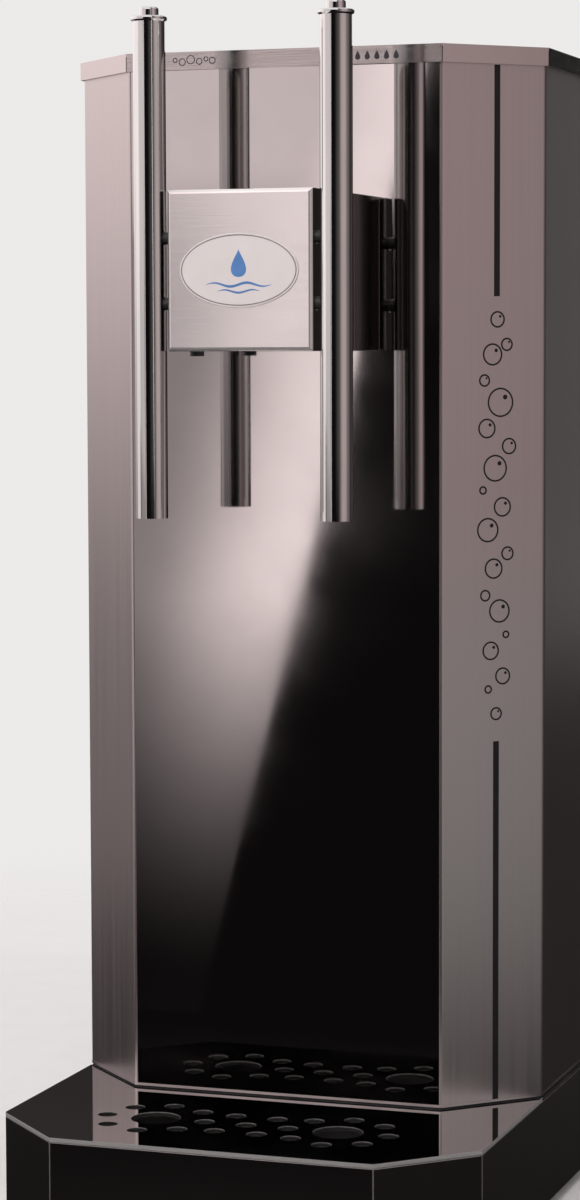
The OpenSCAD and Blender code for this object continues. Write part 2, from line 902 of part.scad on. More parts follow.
module valve_seat(s) {
    r = seat_bore / 2;
    color(brass) at_tap(s, z_seat) rotate_extrude() polygon([
        [r + 1, 0],
        [bore_r - fit, 0],
        [bore_r - fit, seat_h],
        [r, seat_h],
        [r, 1]
    ]);
}

module poppet(s) {
    nose_r = seat_bore / 2 - 0.5;
    color(rubber) at_tap(s, z_poppet) rotate_extrude() polygon([
        [0, -poppet_h],
        [poppet_dia / 2 - 2, -poppet_h],
        [poppet_dia / 2, -2],
        [poppet_dia / 2, 0],
        [nose_r, 0],
        [rod_dia / 2, poppet_nose],
        [0, poppet_nose]
    ]);
}

module outlet_nozzle(s) {
    outer = 2 * (bore_r - fit);
    color(black_plastic) at_tap(s, z_outlet + nozzle_setback) {
        ring(outer, outer - 2 * nozzle_wall, nozzle_l);
    }
}

// Plumbing inside the tower

module water_inlet() {
    color(brass) on_rear_wall(riser_x, z_water) bulkhead(water_spigot, stub_dia, stub_l, stub_bore);
}

module gas_inlet() {
    color(brass) on_rear_wall(-riser_x, z_water) bulkhead(gas_spigot, stub_dia, stub_l, stub_bore);
}

module port_places() {
    for (a = [0, 90, 180]) {
        translate([port_r * cos(a), vessel_y + port_r * sin(a), 0]) children();
    }
    translate([soda_port[0], soda_port[1], 0]) children();
}

module vessel_screw_places() {
    ring_mid = (foot_ring[0] + foot_ring[1]) / 4;
    for (a = [45:90:315]) {
        translate([ring_mid * cos(a), vessel_y + ring_mid * sin(a), 0]) children();
    }
}

// Solid of the vessel shell, smaller by inset all over
module vessel_form(inset) {
    r = vessel_r - inset;
    h = dome_h - inset;
    low = [for (a = [-90:10:0]) [r * cos(a), dome_h + h * sin(a)]];
    high = [for (a = [0:10:90]) [r * cos(a), vessel_h - dome_h + h * sin(a)]];
    translate([0, vessel_y, z_vessel]) rotate_extrude() polygon(concat(low, high));
}

module carbonation_vessel() {
    color(satin_steel) difference() {
        union() {
            vessel_form(0);
            port_places() translate([0, 0, z_boss - dome_h]) cylinder(d = boss_dia, h = dome_h);
            translate([soda_port[0], soda_port[1], z_boss]) cylinder(d = stub_dia, h = stub_l);
            translate([0, vessel_y, z_deck]) {
                ring(foot_ring[0], foot_ring[0] - 2 * vessel_wall, vessel_low + dome_h / 2);
                ring(foot_ring[1], foot_ring[0] - 2 * vessel_wall, foot_t);
            }
        }
        vessel_form(vessel_wall);
        port_places() translate([0, 0, z_boss - dome_h - cut]) {
            cylinder(d = stub_bore, h = dome_h + stub_l + 2 * cut);
        }
        vessel_screw_places() translate([0, 0, z_deck]) screw_hole(foot_t);
    }
}

module vessel_screws() {
    color(chrome) vessel_screw_places() translate([0, 0, z_deck + foot_t]) screw(foot_t + deck_t);
}

// Check valve standing on a boss of the vessel: hexagon, round body and hose stub
module check_valve(s) {
    hex_h = 8;
    color(brass) translate([s * port_r, vessel_y, z_boss]) difference() {
        union() {
            cylinder(d = boss_dia, h = hex_h, $fn = 6);
            cylinder(d = boss_dia - 4, h = check_h);
            cylinder(d = stub_dia, h = check_h + stub_l);
        }
        translate([0, 0, -cut]) cylinder(d = stub_bore, h = check_h + stub_l + 2 * cut);
    }
}

module relief_valve() {
    hex_h = 8;
    body_h = 24;
    knob_h = 6;
    color(brass) translate([0, vessel_y + port_r, z_boss]) {
        cylinder(d = boss_dia, h = hex_h, $fn = 6);
        cylinder(d = boss_dia - 5, h = body_h);
        translate([0, 0, body_h]) cylinder(d = boss_dia - 2, h = knob_h);
    }
}

module tee_fitting() {
    color(brass) translate([riser_x, vessel_y, z_tee]) difference() {
        union() {
            translate([0, 0, -tee_half]) cylinder(d = hose_dia, h = 2 * tee_half);
            translate([0, 0, -tee_half - stub_l]) cylinder(d = stub_dia, h = 2 * (tee_half + stub_l));
            rotate([90, 0, 0]) {
                cylinder(d = hose_dia, h = tee_half);
                cylinder(d = stub_dia, h = tee_half + stub_l);
            }
        }
        translate([0, 0, -tee_half - stub_l - cut]) {
            cylinder(d = stub_bore, h = 2 * (tee_half + stub_l + cut));
        }
        rotate([90, 0, 0]) cylinder(d = stub_bore, h = tee_half + stub_l + cut);
    }
}

// Lengths of the straight stretches between the bends
inlet_run = y_rear - sheet - bulkhead_t - vessel_y - bend_r;
crossing_run = riser_x - port_r - 2 * bend_r;

module water_hose_lower() {
    color(water_blue) translate([riser_x, y_rear - sheet - bulkhead_t, z_water]) rotate([90, 0, 0]) {
        hose_run(inlet_run) hose_bend(90) hose_run(z_tee - tee_half - z_water - bend_r);
    }
}

// Way over from the top of a riser to the check valve
module crossing() {
    hose_bend(90) hose_run(crossing_run) hose_bend(0) hose_run(hose_drop);
}

module water_hose_upper() {
    color(water_blue) translate([riser_x, vessel_y, z_tee + tee_half]) rotate([0, 0, 90]) {
        hose_run(z_riser - z_tee - tee_half) crossing();
    }
}

module gas_hose() {
    color(plastic) mirror([1, 0, 0]) translate([riser_x, y_rear - sheet - bulkhead_t, z_water]) {
        rotate([90, 0, 0]) hose_run(inlet_run) hose_bend(90) {
            hose_run(z_riser - z_water - bend_r) crossing();
        }
    }
}

module still_hose() {
    rise = z_block - z_tee - 2 * bend_r;
    across = riser_x - feed_spread / 2 - 2 * bend_r;
    color(water_blue) translate([riser_x, vessel_y - tee_half, z_tee]) rotate([90, 0, 0]) {
        hose_run(branch_run) hose_bend(90) hose_run(rise) hose_bend(90) hose_run(across) hose_bend(90) {
            hose_run(still_y - bend_r - y_hose_end);
        }
    }
}

module soda_hose() {
    color(water_blue) translate([soda_port[0], soda_port[1], z_boss]) {
        hose_run(z_block - z_boss - bend_r) hose_bend(-90) hose_run(soda_port[1] - bend_r - y_hose_end);
    }
}

base_skirt();
base_plate();
rubber_feet();
foot_screws();
drip_pan();
drain_hose();
drain_outlet();
deck_plate();
deck_rim();
tower_floor();
foot_seal();
front_panel();
side_panel(-1);  // left_side_panel
side_panel(1);  // right_side_panel
rear_panel();
rear_screws();
bulkhead_nuts();
top_cap();
head_housing();
head_cover();
badge_plate();
valve_block();
head_screws();
cover_screw();
tube_stays();
spigot(-1);  // left_spigot
spigot(1);  // right_spigot
tap_tube(-1);  // left_tap_tube
tap_cap(-1);  // left_tap_cap
button(-1);  // left_button
push_rod(-1);  // left_push_rod
gland(-1);  // left_gland
gland_seal(-1);  // left_gland_seal
return_spring(-1);  // left_return_spring
valve_seat(-1);  // left_valve_seat
poppet(-1);  // left_poppet
outlet_nozzle(-1);  // left_outlet_nozzle
tap_tube(1);  // right_tap_tube
tap_cap(1);  // right_tap_cap
button(1);  // right_button
push_rod(1);  // right_push_rod
gland(1);  // right_gland
gland_seal(1);  // right_gland_seal
return_spring(1);  // right_return_spring
valve_seat(1);  // right_valve_seat
poppet(1);  // right_poppet
outlet_nozzle(1);  // right_outlet_nozzle
water_inlet();
gas_inlet();
carbonation_vessel();
vessel_screws();
check_valve(1);  // water_check_valve
check_valve(-1);  // gas_check_valve
relief_valve();
tee_fitting();
water_hose_lower();
water_hose_upper();
still_hose();
soda_hose();
gas_hose();
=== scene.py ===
"""Looks of a countertop sparkling water maker: finishes, printed marks, studio and camera."""

import json
import math

import bmesh
import bpy
from mathutils import Matrix, Vector


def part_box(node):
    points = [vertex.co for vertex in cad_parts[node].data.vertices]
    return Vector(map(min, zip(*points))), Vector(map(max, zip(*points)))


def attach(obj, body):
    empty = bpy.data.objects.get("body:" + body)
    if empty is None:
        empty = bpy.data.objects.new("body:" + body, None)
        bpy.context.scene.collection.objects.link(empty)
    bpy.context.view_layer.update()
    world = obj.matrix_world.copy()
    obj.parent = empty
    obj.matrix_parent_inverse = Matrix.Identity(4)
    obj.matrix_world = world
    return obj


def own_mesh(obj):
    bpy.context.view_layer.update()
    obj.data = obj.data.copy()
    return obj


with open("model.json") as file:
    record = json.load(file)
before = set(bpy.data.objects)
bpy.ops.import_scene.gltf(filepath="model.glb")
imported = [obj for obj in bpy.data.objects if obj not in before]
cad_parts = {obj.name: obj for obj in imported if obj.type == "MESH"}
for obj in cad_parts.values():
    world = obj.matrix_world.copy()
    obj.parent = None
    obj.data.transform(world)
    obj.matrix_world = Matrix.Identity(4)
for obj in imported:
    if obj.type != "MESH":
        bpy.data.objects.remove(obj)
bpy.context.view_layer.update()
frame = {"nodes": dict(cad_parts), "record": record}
nodes = frame["nodes"]
scene = bpy.context.scene
scene.view_settings.view_transform = "Standard"

MM = 0.001
X, Y, Z = (1, 0, 0), (0, 1, 0), (0, 0, 1)
STEEL = (0.62, 0.57, 0.565)
PALE = (0.84, 0.825, 0.82)


def centre(name):
    low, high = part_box(name)
    return (low + high) / 2


# Shader nodes


def shader(mat):
    return mat.node_tree.nodes["Principled BSDF"]


def maths(tree, operation, *values):
    """Result of a sum on values that are sockets or numbers."""
    node = tree.nodes.new("ShaderNodeMath")
    node.operation = operation
    for socket, value in zip(node.inputs, values):
        if isinstance(value, (int, float)):
            socket.default_value = value
        else:
            tree.links.new(value, socket)
    return node.outputs[0]


def remap(tree, value, places, ends=(0.0, 1.0), smooth=False):
    """Value that goes from one end to the other as another value goes between two places."""
    node = tree.nodes.new("ShaderNodeMapRange")
    if smooth:
        node.interpolation_type = "SMOOTHSTEP"
    for key, number in zip(("From Min", "From Max", "To Min", "To Max"), (*places, *ends)):
        node.inputs[key].default_value = number
    tree.links.new(value, node.inputs["Value"])
    return node.outputs["Result"]


def along(tree, output, direction):
    """Object place or Normal of the surface, in the object's own axes, measured along a direction."""
    coord = tree.nodes.new("ShaderNodeTexCoord")
    dot = tree.nodes.new("ShaderNodeVectorMath")
    dot.operation = "DOT_PRODUCT"
    dot.inputs[1].default_value = direction
    tree.links.new(coord.outputs[output], dot.inputs[0])
    return dot.outputs["Value"]


def turned(tree, axis):
    """How squarely the surface faces along an axis of the object, from 0 to 1."""
    return maths(tree, "ABSOLUTE", along(tree, "Normal", Vector(axis).normalized()))


def facing(mat, axis, low, high):
    """From 0 to 1 as the surface turns to face along an axis of the object."""
    return remap(mat.node_tree, turned(mat.node_tree, axis), (low, high))


def outside(tree, middle, reach):
    """1 outside a box round a middle in the plan of the object, and 0 inside it."""
    beyond = []
    for axis, mid, limit in zip((X, Y), middle, reach):
        away = maths(tree, "ABSOLUTE", maths(tree, "SUBTRACT", along(tree, "Object", axis), mid))
        beyond.append(maths(tree, "GREATER_THAN", away, limit))
    return maths(tree, "MAXIMUM", *beyond)


def noise(mat, scale, detail=3.0, stretch=(1, 1, 1)):
    """Noise in object space, with about scale features in a metre."""
    tree = mat.node_tree
    coord = tree.nodes.new("ShaderNodeTexCoord")
    mapping = tree.nodes.new("ShaderNodeMapping")
    mapping.inputs["Scale"].default_value = [scale * s for s in stretch]
    tex = tree.nodes.new("ShaderNodeTexNoise")
    tex.inputs["Scale"].default_value = 1.0
    tex.inputs["Detail"].default_value = detail
    tree.links.new(coord.outputs["Object"], mapping.inputs["Vector"])
    tree.links.new(mapping.outputs["Vector"], tex.inputs["Vector"])
    return tex.outputs["Fac"]


def spread(mat, value, low, high):
    """Noise, which keeps mostly to the middle of its range, spread from low to high."""
    return remap(mat.node_tree, value, (0.3, 0.7), (low, high))


def go_by(mat, factor, key, low, high=None):
    """Drive an input from low to high with a factor; what feeds it already stays as the high end."""
    tree = mat.node_tree
    socket = shader(mat).inputs[key]
    coloured = socket.type == "RGBA"
    mix = tree.nodes.new("ShaderNodeMix")
    mix.data_type = "RGBA" if coloured else "FLOAT"
    low_end, high_end = [s for s in mix.inputs if s.type == socket.type and s.name in "AB"]
    tree.links.new(factor, mix.inputs["Factor"])
    low_end.default_value = (*low, 1) if coloured else low
    if socket.is_linked:
        tree.links.new(socket.links[0].from_socket, high_end)
    else:
        high_end.default_value = (*high, 1) if coloured else high
    tree.links.new(next(s for s in mix.outputs if s.type == socket.type), socket)


# Finishes


def start(name, colour, metallic, roughness):
    mat = bpy.data.materials.new(name)
    mat.use_nodes = True
    inputs = shader(mat).inputs
    inputs["Base Color"].default_value = (*colour, 1)
    inputs["Metallic"].default_value = metallic
    inputs["Roughness"].default_value = roughness
    return mat


def shade(colour, factor):
    return tuple(min(1.0, c * factor) for c in colour)


def tint(mat, value, dark, light):
    """Colour that goes from dark to light with noise."""
    go_by(mat, spread(mat, value, 0.0, 1.0), "Base Color", dark, light)


def rough(mat, value, low, high):
    """Roughness that goes from low to high with noise."""
    mat.node_tree.links.new(spread(mat, value, low, high), shader(mat).inputs["Roughness"])


def bump(mat, value, depth, strength=1.0):
    """Fine relief from noise, with its depth in millimetres."""
    node = mat.node_tree.nodes.new("ShaderNodeBump")
    node.inputs["Distance"].default_value = depth * MM
    node.inputs["Strength"].default_value = strength
    mat.node_tree.links.new(value, node.inputs["Height"])
    mat.node_tree.links.new(node.outputs["Normal"], shader(mat).inputs["Normal"])


def mirror_steel(name):
    mat = start(name, (0.79, 0.755, 0.75), 1.0, 0.04)
    rough(mat, noise(mat, 16, 4), 0.02, 0.055)
    bump(mat, noise(mat, 7, 1), 0.12)
    tint(mat, noise(mat, 40, 3), (0.77, 0.735, 0.73), (0.81, 0.775, 0.77))
    return mat


def grained_steel(name, colour, axis, roughness, vary=0.03):
    """Steel with fine grain along an axis."""
    stretch = [0.012 if a else 1 for a in axis]
    mat = start(name, colour, 1.0, roughness)
    streaks = noise(mat, 420, 3, stretch)
    rough(mat, streaks, roughness - vary, roughness + vary)
    tint(mat, streaks, shade(colour, 1 - vary), shade(colour, 1 + vary))
    bump(mat, noise(mat, 2600, 2, stretch), 0.02, 0.6)
    return mat


def dull(mat, bright, colour):
    """Make a mirror sheet dull where the factor bright is 0."""
    go_by(mat, bright, "Base Color", colour)
    go_by(mat, bright, "Metallic", 0.55, 1.0)
    go_by(mat, bright, "Roughness", 0.40)


def deck_steel():
    """Mirror sheet with satin cut edges, whose light rims round the holes are a painted highlight, and dark
    hole walls of painted shade.
    """
    mat = mirror_steel("deck_steel")
    # Satin cut edges, a real finish; on the rims of the holes they also give a painted highlight line
    dull(mat, facing(mat, Z, 0.80, 0.97), (0.50, 0.49, 0.48))
    tap = nodes["deck_plate"].matrix_world.inverted() @ centre("right_tap_tube")
    holes_reach = 33 * MM
    beyond_holes = outside(mat.node_tree, (0, tap.y), (tap.x + holes_reach, holes_reach))
    # Painted shade: the hole walls are darkened, all but their rims
    no_painted_wall_shade = maths(mat.node_tree, "MAXIMUM", beyond_holes, facing(mat, Z, 0.10, 0.30))
    go_by(mat, no_painted_wall_shade, "Base Color", (0.05, 0.048, 0.047))
    return mat


def skirt_steel():
    """Mirror sheet that is dull along its bends, where the dull tone is a painted highlight line."""
    mat = mirror_steel("skirt_steel")
    tree = mat.node_tree
    square = turned(tree, Z)
    for axis in (X, Y, (1, 1, 0), (1, -1, 0)):
        square = maths(tree, "MAXIMUM", square, turned(tree, axis))
    # Duller finish along the bends, toned as a painted highlight: faint light lines on the dark mirror
    dull(mat, remap(tree, square, (0.955, 0.99)), (0.22, 0.21, 0.205))
    return mat


def head_steel():
    """Fine satin face with painted light that lightens it from its left edge, and polished sides with painted
    shade, dark, that show the taps.
    """
    mat = grained_steel("head_steel", (0.97, 0.915, 0.91), X, 0.10, 0.01)
    # Painted light: the face grows lighter from its left edge
    left_edge, full_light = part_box("head_cover")[0].x, -5 * MM
    light = remap(mat.node_tree, along(mat.node_tree, "Object", X), (left_edge, full_light))
    go_by(mat, light, "Base Color", (0.80, 0.755, 0.75))
    # Painted shade: the sides are darker than the face; they are also more polished
    front = facing(mat, X, 0.95, 0.6)
    go_by(mat, front, "Base Color", (0.34, 0.315, 0.31))
    go_by(mat, front, "Metallic", 1.0, 0.76)
    go_by(mat, front, "Roughness", 0.11)
    return mat


def cap_steel():
    """Fine satin sheet, with painted light on its rim in front and behind, which is lighter than the rest."""
    mat = grained_steel("cap_steel", (0.84, 0.785, 0.775), X, 0.13)
    # Painted light: the rim facing front and back keeps the light colour, the rest takes plain steel
    go_by(mat, facing(mat, Y, 0.80, 0.97), "Base Color", STEEL)
    return mat


def metal(name, colour, low, high, scale=60, stretch=(1, 1, 1)):
    """Plain metal, clouded in tone and in roughness from low to high."""
    mat = start(name, colour, 1.0, low)
    cloud = noise(mat, scale, 4, stretch)
    rough(mat, cloud, low, high)
    tint(mat, cloud, shade(colour, 0.93), shade(colour, 1.06))
    return mat


def chrome(name):
    return metal(name, (0.82, 0.84, 0.83), 0.06, 0.11, 90, (1, 1, 0.15))


def tube_chrome():
    """Chrome with painted shade, darker on the side of the panel, for the image of the tube there."""
    mat = chrome("tube_chrome")
    panel_side = Vector((-0.3, 0.95, 0)).normalized()
    front = remap(mat.node_tree, along(mat.node_tree, "Normal", panel_side), (0.75, -0.1))
    # Painted shade on the backs of the tubes
    go_by(mat, front, "Base Color", (0.33, 0.34, 0.335))
    return mat


def matte(name, colour, low, high, scale, depth, vary=0.12):
    """Material other than metal, with fine grain of a depth in millimetres."""
    mat = start(name, colour, 0.0, low)
    rough(mat, noise(mat, scale / 20, 3), low, high)
    tint(mat, noise(mat, scale / 12, 3), shade(colour, 1 - vary), shade(colour, 1 + vary))
    bump(mat, noise(mat, scale, 3), depth)
    return mat


def enamel(name):
    mat = matte(name, (0.70, 0.645, 0.64), 0.14, 0.22, 900, 0.006, 0.015)
    shader(mat).inputs["Coat Weight"].default_value = 0.35
    shader(mat).inputs["Coat Roughness"].default_value = 0.10
    return mat


def ink(name, colour):
    mat = matte(name, colour, 0.5, 0.62, 1200, 0.004)
    shader(mat).inputs["Specular IOR Level"].default_value = 0.25
    return mat


finishes = {
    "mirror_steel": mirror_steel("mirror_steel"),
    "satin_steel": grained_steel("satin_steel", STEEL, Z, 0.34),
    "plain_steel": metal("plain_steel", (0.55, 0.55, 0.56), 0.30, 0.45, 45),
    "screw_steel": metal("screw_steel", (0.60, 0.60, 0.62), 0.25, 0.40, 400),
    "black_steel": matte("black_steel", (0.03, 0.03, 0.03), 0.35, 0.5, 1500, 0.01),
    "chrome": chrome("chrome"),
    "brass": metal("brass", (0.72, 0.57, 0.28), 0.22, 0.36, 180),
    "rubber": matte("rubber", (0.03, 0.03, 0.03), 0.7, 0.9, 2200, 0.03),
    "black_plastic": matte("black_plastic", (0.04, 0.04, 0.04), 0.4, 0.55, 2600, 0.012),
    "hose": matte("hose", (0.80, 0.84, 0.86), 0.3, 0.42, 700, 0.01),
    "badge_white": enamel("badge_white"),
}
# Satin steel of the trim at the tower's foot, whose light line is a painted highlight
highlight_trim_finish = metal("highlight_trim_steel", (0.62, 0.575, 0.57), 0.28, 0.36)
ink_black = ink("ink_black", (0.012, 0.010, 0.011))
ink_blue = ink("ink_blue", (0.085, 0.20, 0.46))
ink_dark = ink("ink_dark", (0.035, 0.032, 0.045))
ink_grey = ink("ink_grey", (0.20, 0.17, 0.175))

# Nodes with a finish of their own instead of their slot's
head_finish, tube_finish = head_steel(), tube_chrome()
own = {
    "top_cap": cap_steel(),
    "head_housing": head_finish,
    "head_cover": head_finish,
    "deck_plate": deck_steel(),
    "base_skirt": skirt_steel(),
    "left_tap_tube": tube_finish,
    "right_tap_tube": tube_finish,
}
for piece in frame["record"]["subparts"]:
    mesh = nodes[piece["node"]].data
    mesh.materials.clear()
    mesh.materials.append(own.get(piece["node"], finishes[piece["material_slot"]]))


# Rounded edges of the folded and turned pieces
WELD_GAP = 0.002 * MM
SHARP = math.radians(32)


def soften(names, width, segments=3):
    for name in names:
        obj = nodes[name]
        weld = obj.modifiers.new("weld", "WELD")
        weld.merge_threshold = WELD_GAP
        bevel = obj.modifiers.new("bevel", "BEVEL")
        bevel.width = width * MM
        bevel.segments = segments
        bevel.limit_method = "ANGLE"
        bevel.angle_limit = SHARP
        bevel.harden_normals = True


soften(["head_housing", "head_cover", "deck_plate"], 0.5)
soften(["top_cap"], 0.4)
soften(["base_skirt"], 0.7)
soften(["left_side_panel", "right_side_panel"], 0.6)
soften(["badge_plate"], 0.3)
soften(["rear_screws", "head_screws", "cover_screw", "bulkhead_nuts"], 0.3, 2)


# Printed marks: thin films on a face, given by a place with axes u, v and the way out


def place(origin, u, v):
    u, v = Vector(u).normalized(), Vector(v).normalized()
    out = u.cross(v)
    rows = [[u[i], v[i], out[i], origin[i]] for i in range(3)]
    return Matrix([*rows, [0, 0, 0, 1]])


def add_piece(name, bm, mat, where):
    """New piece of the cabinet from a mesh that is drawn at a place."""
    bmesh.ops.recalc_face_normals(bm, faces=bm.faces)
    bm.transform(where)
    mesh = bpy.data.meshes.new(name)
    bm.to_mesh(mesh)
    bm.free()
    obj = bpy.data.objects.new(name, mesh)
    scene.collection.objects.link(obj)
    mesh.materials.append(mat)
    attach(obj, "cabinet")
    return obj


def film(name, shapes, where, mat, proud=0.07, sunk=0.05):
    """Thin closed film made of outlines in millimetres; a pair of outlines is a band between them."""
    bm = bmesh.new()
    for shape in shapes:
        outlines = shape if isinstance(shape, tuple) else (shape,)
        loops = [[bm.verts.new((x * MM, y * MM, -sunk * MM)) for x, y in line] for line in outlines]
        if len(loops) == 2:
            outer, inner = loops
            steps = [(i, (i + 1) % len(outer)) for i in range(len(outer))]
            faces = [bm.faces.new((outer[i], outer[j], inner[j], inner[i])) for i, j in steps]
        else:
            faces = [bm.faces.new(loops[0])]
        grown = bmesh.ops.extrude_face_region(bm, geom=faces)
        lifted = [v for v in grown["geom"] if isinstance(v, bmesh.types.BMVert)]
        bmesh.ops.translate(bm, verts=lifted, vec=(0, 0, (proud + sunk) * MM))
    add_piece(name, bm, mat, where)


def oval(cx, cy, a, b, n=48):
    turns = [2 * math.pi * i / n for i in range(n)]
    return [(cx + a * math.cos(t), cy + b * math.sin(t)) for t in turns]


def circle_band(cx, cy, r, t, n=32):
    return (oval(cx, cy, r, r, n), oval(cx, cy, r - t, r - t, n))


def bar(x0, y0, x1, y1):
    return [(x0, y0), (x1, y0), (x1, y1), (x0, y1)]


def drop(cx, cy, h, n=40):
    """Water drop with its tip up."""
    fullness, point = 0.42, 1.6
    points = []
    for i in range(n):
        t = 2 * math.pi * i / n
        across = fullness * h * math.sin(t) * math.sin(t / 2) ** point
        points.append((cx - across, cy + h / 2 * math.cos(t)))
    return points


def wave(half, y, high, thick, turns, n=48):
    """Ribbon of a wave that runs out to points at both ends."""
    least, taper = 0.06, 0.6
    top, low = [], []
    for i in range(n + 1):
        s = i / n
        x = half * (2 * s - 1)
        mid = y + high * math.sin(2 * math.pi * turns * s)
        half_thick = max(least, thick / 2 * math.sin(math.pi * s) ** taper)
        top.append((x, mid + half_thick))
        low.append((x, mid - half_thick))
    return low + top[::-1]


# Stripe and rising bubbles on the right corner panel
side_low, side_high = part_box("right_side_panel")
cap_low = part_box("top_cap")[0]
corner_leg = 42
corner_place = place((side_high.x - corner_leg * MM, side_low.y, 0), (1, 1, 0), Z)
stripe_u = 0.53 * corner_leg * math.sqrt(2)
stripe_half, stripe_margin = 1.65, 0.3
stripe_left, stripe_right = stripe_u - stripe_half, stripe_u + stripe_half
bubbles_low, bubbles_high = 250, 474
film(
    "corner_stripe",
    [
        bar(stripe_left, bubbles_high, stripe_right, cap_low.z / MM - stripe_margin),
        bar(stripe_left, side_low.z / MM + stripe_margin, stripe_right, bubbles_low),
    ],
    corner_place,
    ink_black,
)
# Each bubble as its distance from the stripe, height and radius
bubbles = [
    (0.0, 264.0, 3.4), (-4.6, 276.5, 2.2), (3.8, 283.0, 4.4), (-3.2, 296.0, 4.8), (5.6, 304.0, 2.0),
    (1.8, 316.0, 6.0), (-6.4, 324.0, 3.0), (-1.6, 337.5, 5.2), (6.4, 345.0, 3.6), (-5.0, 357.0, 6.2),
    (3.4, 368.5, 5.0), (-7.8, 377.0, 2.2), (-0.8, 388.0, 6.8), (7.2, 399.0, 4.2), (-5.6, 408.0, 5.0),
    (2.2, 421.0, 7.4), (-7.0, 432.0, 3.2), (-2.4, 445.0, 5.6), (5.8, 450.0, 3.4), (0.4, 462.5, 4.2),
]
bubble_line = 0.85
film(
    "corner_bubbles",
    [circle_band(stripe_u + x, z, r, bubble_line) for x, z, r in bubbles],
    corner_place,
    ink_black,
)


def glint(x, z, r):
    """Dot at the upper right of a bubble."""
    off, size = 0.36 * r, 0.17 * r
    return oval(stripe_u + x + off, z + off, size, size, 16)


least_with_glint = 3.0
film(
    "corner_bubble_glints",
    [glint(x, z, r) for x, z, r in bubbles if r > least_with_glint],
    corner_place,
    ink_black,
)

# Badge: thin outline, a water drop and two waves
badge_low, badge_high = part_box("badge_plate")
badge_mid = centre("badge_plate")
badge_place = place((badge_mid.x, badge_low.y, badge_mid.z), X, Z)
badge_a = (badge_high.x - badge_low.x) / 2 / MM
badge_b = (badge_high.z - badge_low.z) / 2 / MM
badge_proud = 0.04


def badge_oval(inset):
    return oval(0, 0, badge_a - inset, badge_b - inset, 96)


film("badge_outline", [(badge_oval(0.75), badge_oval(1.3))], badge_place, ink_grey, badge_proud)
film("badge_drop", [drop(0, 3.4, 13.5)], badge_place, ink_blue, badge_proud)
film(
    "badge_waves",
    [
        wave(17, y=-7.0, high=0.9, thick=1.3, turns=2),
        wave(11, y=-10.2, high=0.7, thick=1.0, turns=1.5),
    ],
    badge_place,
    ink_blue,
    badge_proud,
)

# Signs of the two taps on the rim of the cap: bubbles for sparkling water, drops for still water
rim_mid = centre("top_cap").z / MM
rim_place = place((0, cap_low.y, 0), X, Z)
left_x, right_x = centre("left_tap_tube").x / MM, centre("right_tap_tube").x / MM
sign_bubbles = [
    (-9, 0.4, 1.3), (-5.2, -0.6, 1.9), (-0.6, 0.5, 2.3), (4.0, -0.5, 1.7), (7.6, 0.6, 1.3), (11, -0.2, 1.8),
]
sign_line = 0.45
film(
    "sparkling_sign",
    [circle_band(left_x + x, rim_mid + y, r, sign_line, 24) for x, y, r in sign_bubbles],
    rim_place,
    ink_dark,
)
sign_drop = 4.6
film(
    "still_sign",
    [drop(right_x + x, rim_mid, sign_drop, 28) for x in range(-8, 13, 5)],
    rim_place,
    ink_dark,
)


# Hexagon sockets of the screws
socket_proud = 0.03
screw_head_r = 3.5


def socket(x, y):
    return oval(x, y, 1.75, 1.75, 6)


screw_low, screw_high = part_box("rear_screws")
rear_x = screw_high.x / MM - screw_head_r
rear_low, rear_high = screw_low.z / MM + screw_head_r, screw_high.z / MM - screw_head_r
rear_rows = 4
rear_z = [rear_low + i * (rear_high - rear_low) / (rear_rows - 1) for i in range(rear_rows)]
film(
    "rear_screw_sockets",
    [socket(x, z) for x in (-rear_x, rear_x) for z in rear_z],
    place((0, screw_high.y, 0), (-1, 0, 0), Z),
    ink_dark,
    socket_proud,
)
cover_screw = centre("cover_screw")
film(
    "cover_screw_socket",
    [socket(0, 0)],
    place((cover_screw.x, cover_screw.y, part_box("cover_screw")[0].z), X, (0, -1, 0)),
    finishes["black_steel"],
    socket_proud,
)
screw_low, screw_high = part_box("foot_screws")
film(
    "foot_screw_sockets",
    [
        socket(x, -y)
        for x in (screw_low.x / MM + screw_head_r, screw_high.x / MM - screw_head_r)
        for y in (screw_low.y / MM + screw_head_r, screw_high.y / MM - screw_head_r)
    ],
    place((0, 0, screw_low.z), X, (0, -1, 0)),
    ink_dark,
    socket_proud,
)


# Thin steel trim over the joint between the tower and its seal; its light line along the foot of the tower is
# a painted highlight


def rounded_path(corners, radius, steps=4):
    """Open path through corners with its inner corners rounded, and the way out at each point."""
    path = []
    for i, (x, y) in enumerate(corners):
        before = Vector(corners[max(i - 1, 0)])
        after = Vector(corners[min(i + 1, len(corners) - 1)])
        here = Vector((x, y))
        if i in (0, len(corners) - 1):
            run = (after - before).normalized()
            path.append((here, Vector((run.y, -run.x))))
            continue
        a, b = (here - before).normalized(), (after - here).normalized()
        out_a, out_b = Vector((a.y, -a.x)), Vector((b.y, -b.x))
        bend = out_a.angle(out_b)
        middle = here - a * radius * math.tan(bend / 2) - out_a * radius
        for k in range(steps + 1):
            t = k / steps
            out = (out_a * math.sin((1 - t) * bend) + out_b * math.sin(t * bend)) / math.sin(bend)
            path.append((middle + out * radius, out))
    return path


